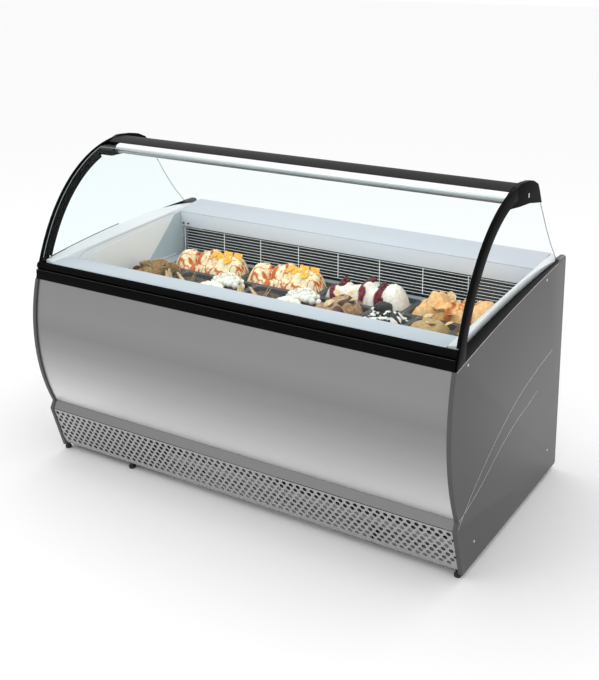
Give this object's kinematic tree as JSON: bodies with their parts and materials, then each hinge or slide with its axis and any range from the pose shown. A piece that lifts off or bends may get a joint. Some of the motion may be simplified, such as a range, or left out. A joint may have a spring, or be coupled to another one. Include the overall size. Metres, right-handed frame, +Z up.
{
  "type": "ice-cream scooping display freezer",
  "caption": "Chest-height scooping freezer with bowed steel front, tilting curved glass, side panes, top lamp rail and lift-out pans in an open rear-served well.",
  "frame": {"origin": "on the floor, under the middle of the whole object's footprint", "axes": "+X to the right seen from the customer's side, +Y from the customer's side to the server's side, +Z up"},
  "size_m": [1.69, 0.997, 1.199],
  "materials": {
    "panel_steel": "grey metallic lacquer, satin",
    "front_steel": "vertically bowed brushed sheet",
    "grille_steel": "perforated sheet, satin",
    "black_gloss": "gloss black moulding",
    "aluminium": "anodised extrusion",
    "glass": "clear tempered pane",
    "lamp_white": "diffusing lens",
    "white_liner": "cool white liner",
    "foam_casing": "coated steel over foam",
    "stainless": "fine brushed",
    "wire_white": "white coated wire",
    "fin_dark": "dark coated fins",
    "pan_grey": "dark grey food-grade plastic",
    "plastic_black": "black moulding",
    "rubber": "black tread",
    "zinc": "zinc plated",
    "compressor_black": "black enamel"
  },
  "bodies": {
    "cabinet": {"end_panel_left": "panel_steel", "end_panel_right": "panel_steel", "front_panel": "front_steel", "rear_panel": "front_steel", "plinth_band": "grille_steel", "plinth_grille": "grille_steel", "bumper_strip": "black_gloss", "hinge_block_left": "black_gloss", "hinge_block_right": "black_gloss", "arch_left": "black_gloss", "arch_right": "black_gloss", "side_trim_left": "black_gloss", "side_trim_right": "black_gloss", "cap_left": "black_gloss", "cap_right": "black_gloss", "top_rail": "black_gloss", "lamp_housing": "aluminium", "side_glass_left": "glass", "side_glass_right": "glass", "lamp_lens": "lamp_white", "side_liner_left": "white_liner", "side_liner_right": "white_liner", "front_ledge": "white_liner", "front_air_duct": "white_liner", "rear_counter": "white_liner", "insulated_tub": "foam_casing", "pan_frame": "stainless", "air_grille": "wire_white", "evaporator_coil": "fin_dark", "condenser": "fin_dark", "control_panel": "plastic_black", "compressor": "compressor_black", "base_frame": "zinc"},
    "front_glass": {"front_glass": "glass", "glass_holder": "black_gloss"},
    "switch_rocker": {"power_switch": "plastic_black"},
    "evaporator_fan_left": {"evaporator_fan_left": "plastic_black"},
    "evaporator_fan_right": {"evaporator_fan_right": "plastic_black"},
    "condenser_fan": {"condenser_fan": "plastic_black"},
    "castor_fork_front_left": {"castor_fork_front_left": "zinc"},
    "castor_wheel_front_left": {"castor_wheel_front_left": "rubber"},
    "castor_fork_front_right": {"castor_fork_front_right": "zinc"},
    "castor_wheel_front_right": {"castor_wheel_front_right": "rubber"},
    "castor_fork_rear_left": {"castor_fork_rear_left": "zinc"},
    "castor_wheel_rear_left": {"castor_wheel_rear_left": "rubber"},
    "castor_fork_rear_right": {"castor_fork_rear_right": "zinc"},
    "castor_wheel_rear_right": {"castor_wheel_rear_right": "rubber"},
    "pan_rear_1": {"pan_rear_1": "pan_grey"},
    "pan_rear_2": {"pan_rear_2": "pan_grey"},
    "pan_rear_3": {"pan_rear_3": "pan_grey"},
    "pan_rear_4": {"pan_rear_4": "pan_grey"},
    "pan_front_1": {"pan_front_1": "pan_grey"},
    "pan_front_2": {"pan_front_2": "pan_grey"},
    "pan_front_3": {"pan_front_3": "pan_grey"},
    "pan_front_4": {"pan_front_4": "pan_grey"},
    "pan_front_5": {"pan_front_5": "pan_grey"},
    "pan_front_6": {"pan_front_6": "pan_grey"},
    "pan_front_7": {"pan_front_7": "pan_grey"},
    "pan_front_8": {"pan_front_8": "pan_grey"},
    "pan_front_9": {"pan_front_9": "pan_grey"}
  },
  "joints": [
    {"name": "front_glass_tilt", "type": "hinge", "parent": "cabinet", "child": "front_glass", "pos_m": [0, -0.4564, 0.7765], "axis": [1, 0, 0], "range_deg": [0, 55]},
    {"name": "pan_rear_1_lift", "type": "slide", "parent": "cabinet", "child": "pan_rear_1", "axis": [0, 0, 1], "range_m": [0, 0.25]},
    {"name": "pan_rear_2_lift", "type": "slide", "parent": "cabinet", "child": "pan_rear_2", "axis": [0, 0, 1], "range_m": [0, 0.25]},
    {"name": "pan_rear_3_lift", "type": "slide", "parent": "cabinet", "child": "pan_rear_3", "axis": [0, 0, 1], "range_m": [0, 0.25]},
    {"name": "pan_rear_4_lift", "type": "slide", "parent": "cabinet", "child": "pan_rear_4", "axis": [0, 0, 1], "range_m": [0, 0.25]},
    {"name": "pan_front_1_lift", "type": "slide", "parent": "cabinet", "child": "pan_front_1", "axis": [0, 0, 1], "range_m": [0, 0.25]},
    {"name": "pan_front_2_lift", "type": "slide", "parent": "cabinet", "child": "pan_front_2", "axis": [0, 0, 1], "range_m": [0, 0.25]},
    {"name": "pan_front_3_lift", "type": "slide", "parent": "cabinet", "child": "pan_front_3", "axis": [0, 0, 1], "range_m": [0, 0.25]},
    {"name": "pan_front_4_lift", "type": "slide", "parent": "cabinet", "child": "pan_front_4", "axis": [0, 0, 1], "range_m": [0, 0.25]},
    {"name": "pan_front_5_lift", "type": "slide", "parent": "cabinet", "child": "pan_front_5", "axis": [0, 0, 1], "range_m": [0, 0.25]},
    {"name": "pan_front_6_lift", "type": "slide", "parent": "cabinet", "child": "pan_front_6", "axis": [0, 0, 1], "range_m": [0, 0.25]},
    {"name": "pan_front_7_lift", "type": "slide", "parent": "cabinet", "child": "pan_front_7", "axis": [0, 0, 1], "range_m": [0, 0.25]},
    {"name": "pan_front_8_lift", "type": "slide", "parent": "cabinet", "child": "pan_front_8", "axis": [0, 0, 1], "range_m": [0, 0.25]},
    {"name": "pan_front_9_lift", "type": "slide", "parent": "cabinet", "child": "pan_front_9", "axis": [0, 0, 1], "range_m": [0, 0.25]},
    {"name": "castor_swivel_front_left", "type": "hinge", "parent": "cabinet", "child": "castor_fork_front_left", "pos_m": [-0.515, -0.2969, 0.0755], "axis": [0, 0, 1], "continuous": true},
    {"name": "castor_roll_front_left", "type": "hinge", "parent": "castor_fork_front_left", "child": "castor_wheel_front_left", "pos_m": [-0.515, -0.3189, 0.0252], "axis": [1, 0, 0], "continuous": true},
    {"name": "castor_swivel_front_right", "type": "hinge", "parent": "cabinet", "child": "castor_fork_front_right", "pos_m": [0.515, -0.2969, 0.0755], "axis": [0, 0, 1], "continuous": true},
    {"name": "castor_roll_front_right", "type": "hinge", "parent": "castor_fork_front_right", "child": "castor_wheel_front_right", "pos_m": [0.515, -0.3189, 0.0252], "axis": [1, 0, 0], "continuous": true},
    {"name": "castor_swivel_rear_left", "type": "hinge", "parent": "cabinet", "child": "castor_fork_rear_left", "pos_m": [-0.515, 0.3891, 0.0755], "axis": [0, 0, 1], "continuous": true},
    {"name": "castor_roll_rear_left", "type": "hinge", "parent": "castor_fork_rear_left", "child": "castor_wheel_rear_left", "pos_m": [-0.515, 0.3671, 0.0252], "axis": [1, 0, 0], "continuous": true},
    {"name": "castor_swivel_rear_right", "type": "hinge", "parent": "cabinet", "child": "castor_fork_rear_right", "pos_m": [0.515, 0.3891, 0.0755], "axis": [0, 0, 1], "continuous": true},
    {"name": "castor_roll_rear_right", "type": "hinge", "parent": "castor_fork_rear_right", "child": "castor_wheel_rear_right", "pos_m": [0.515, 0.3671, 0.0252], "axis": [1, 0, 0], "continuous": true},
    {"name": "evaporator_fan_left_spin", "type": "hinge", "parent": "cabinet", "child": "evaporator_fan_left", "pos_m": [-0.36, 0.3401, 0.51], "axis": [0, 1, 0], "continuous": true},
    {"name": "evaporator_fan_right_spin", "type": "hinge", "parent": "cabinet", "child": "evaporator_fan_right", "pos_m": [0.36, 0.3401, 0.51], "axis": [0, 1, 0], "continuous": true},
    {"name": "condenser_fan_spin", "type": "hinge", "parent": "cabinet", "child": "condenser_fan", "pos_m": [-0.09, -0.2509, 0.1935], "axis": [0, 1, 0], "continuous": true},
    {"name": "power_switch_tip", "type": "hinge", "parent": "cabinet", "child": "switch_rocker", "pos_m": [0.5, 0.4931, 0.725], "axis": [1, 0, 0], "range_deg": [0, 8]}
  ]
}
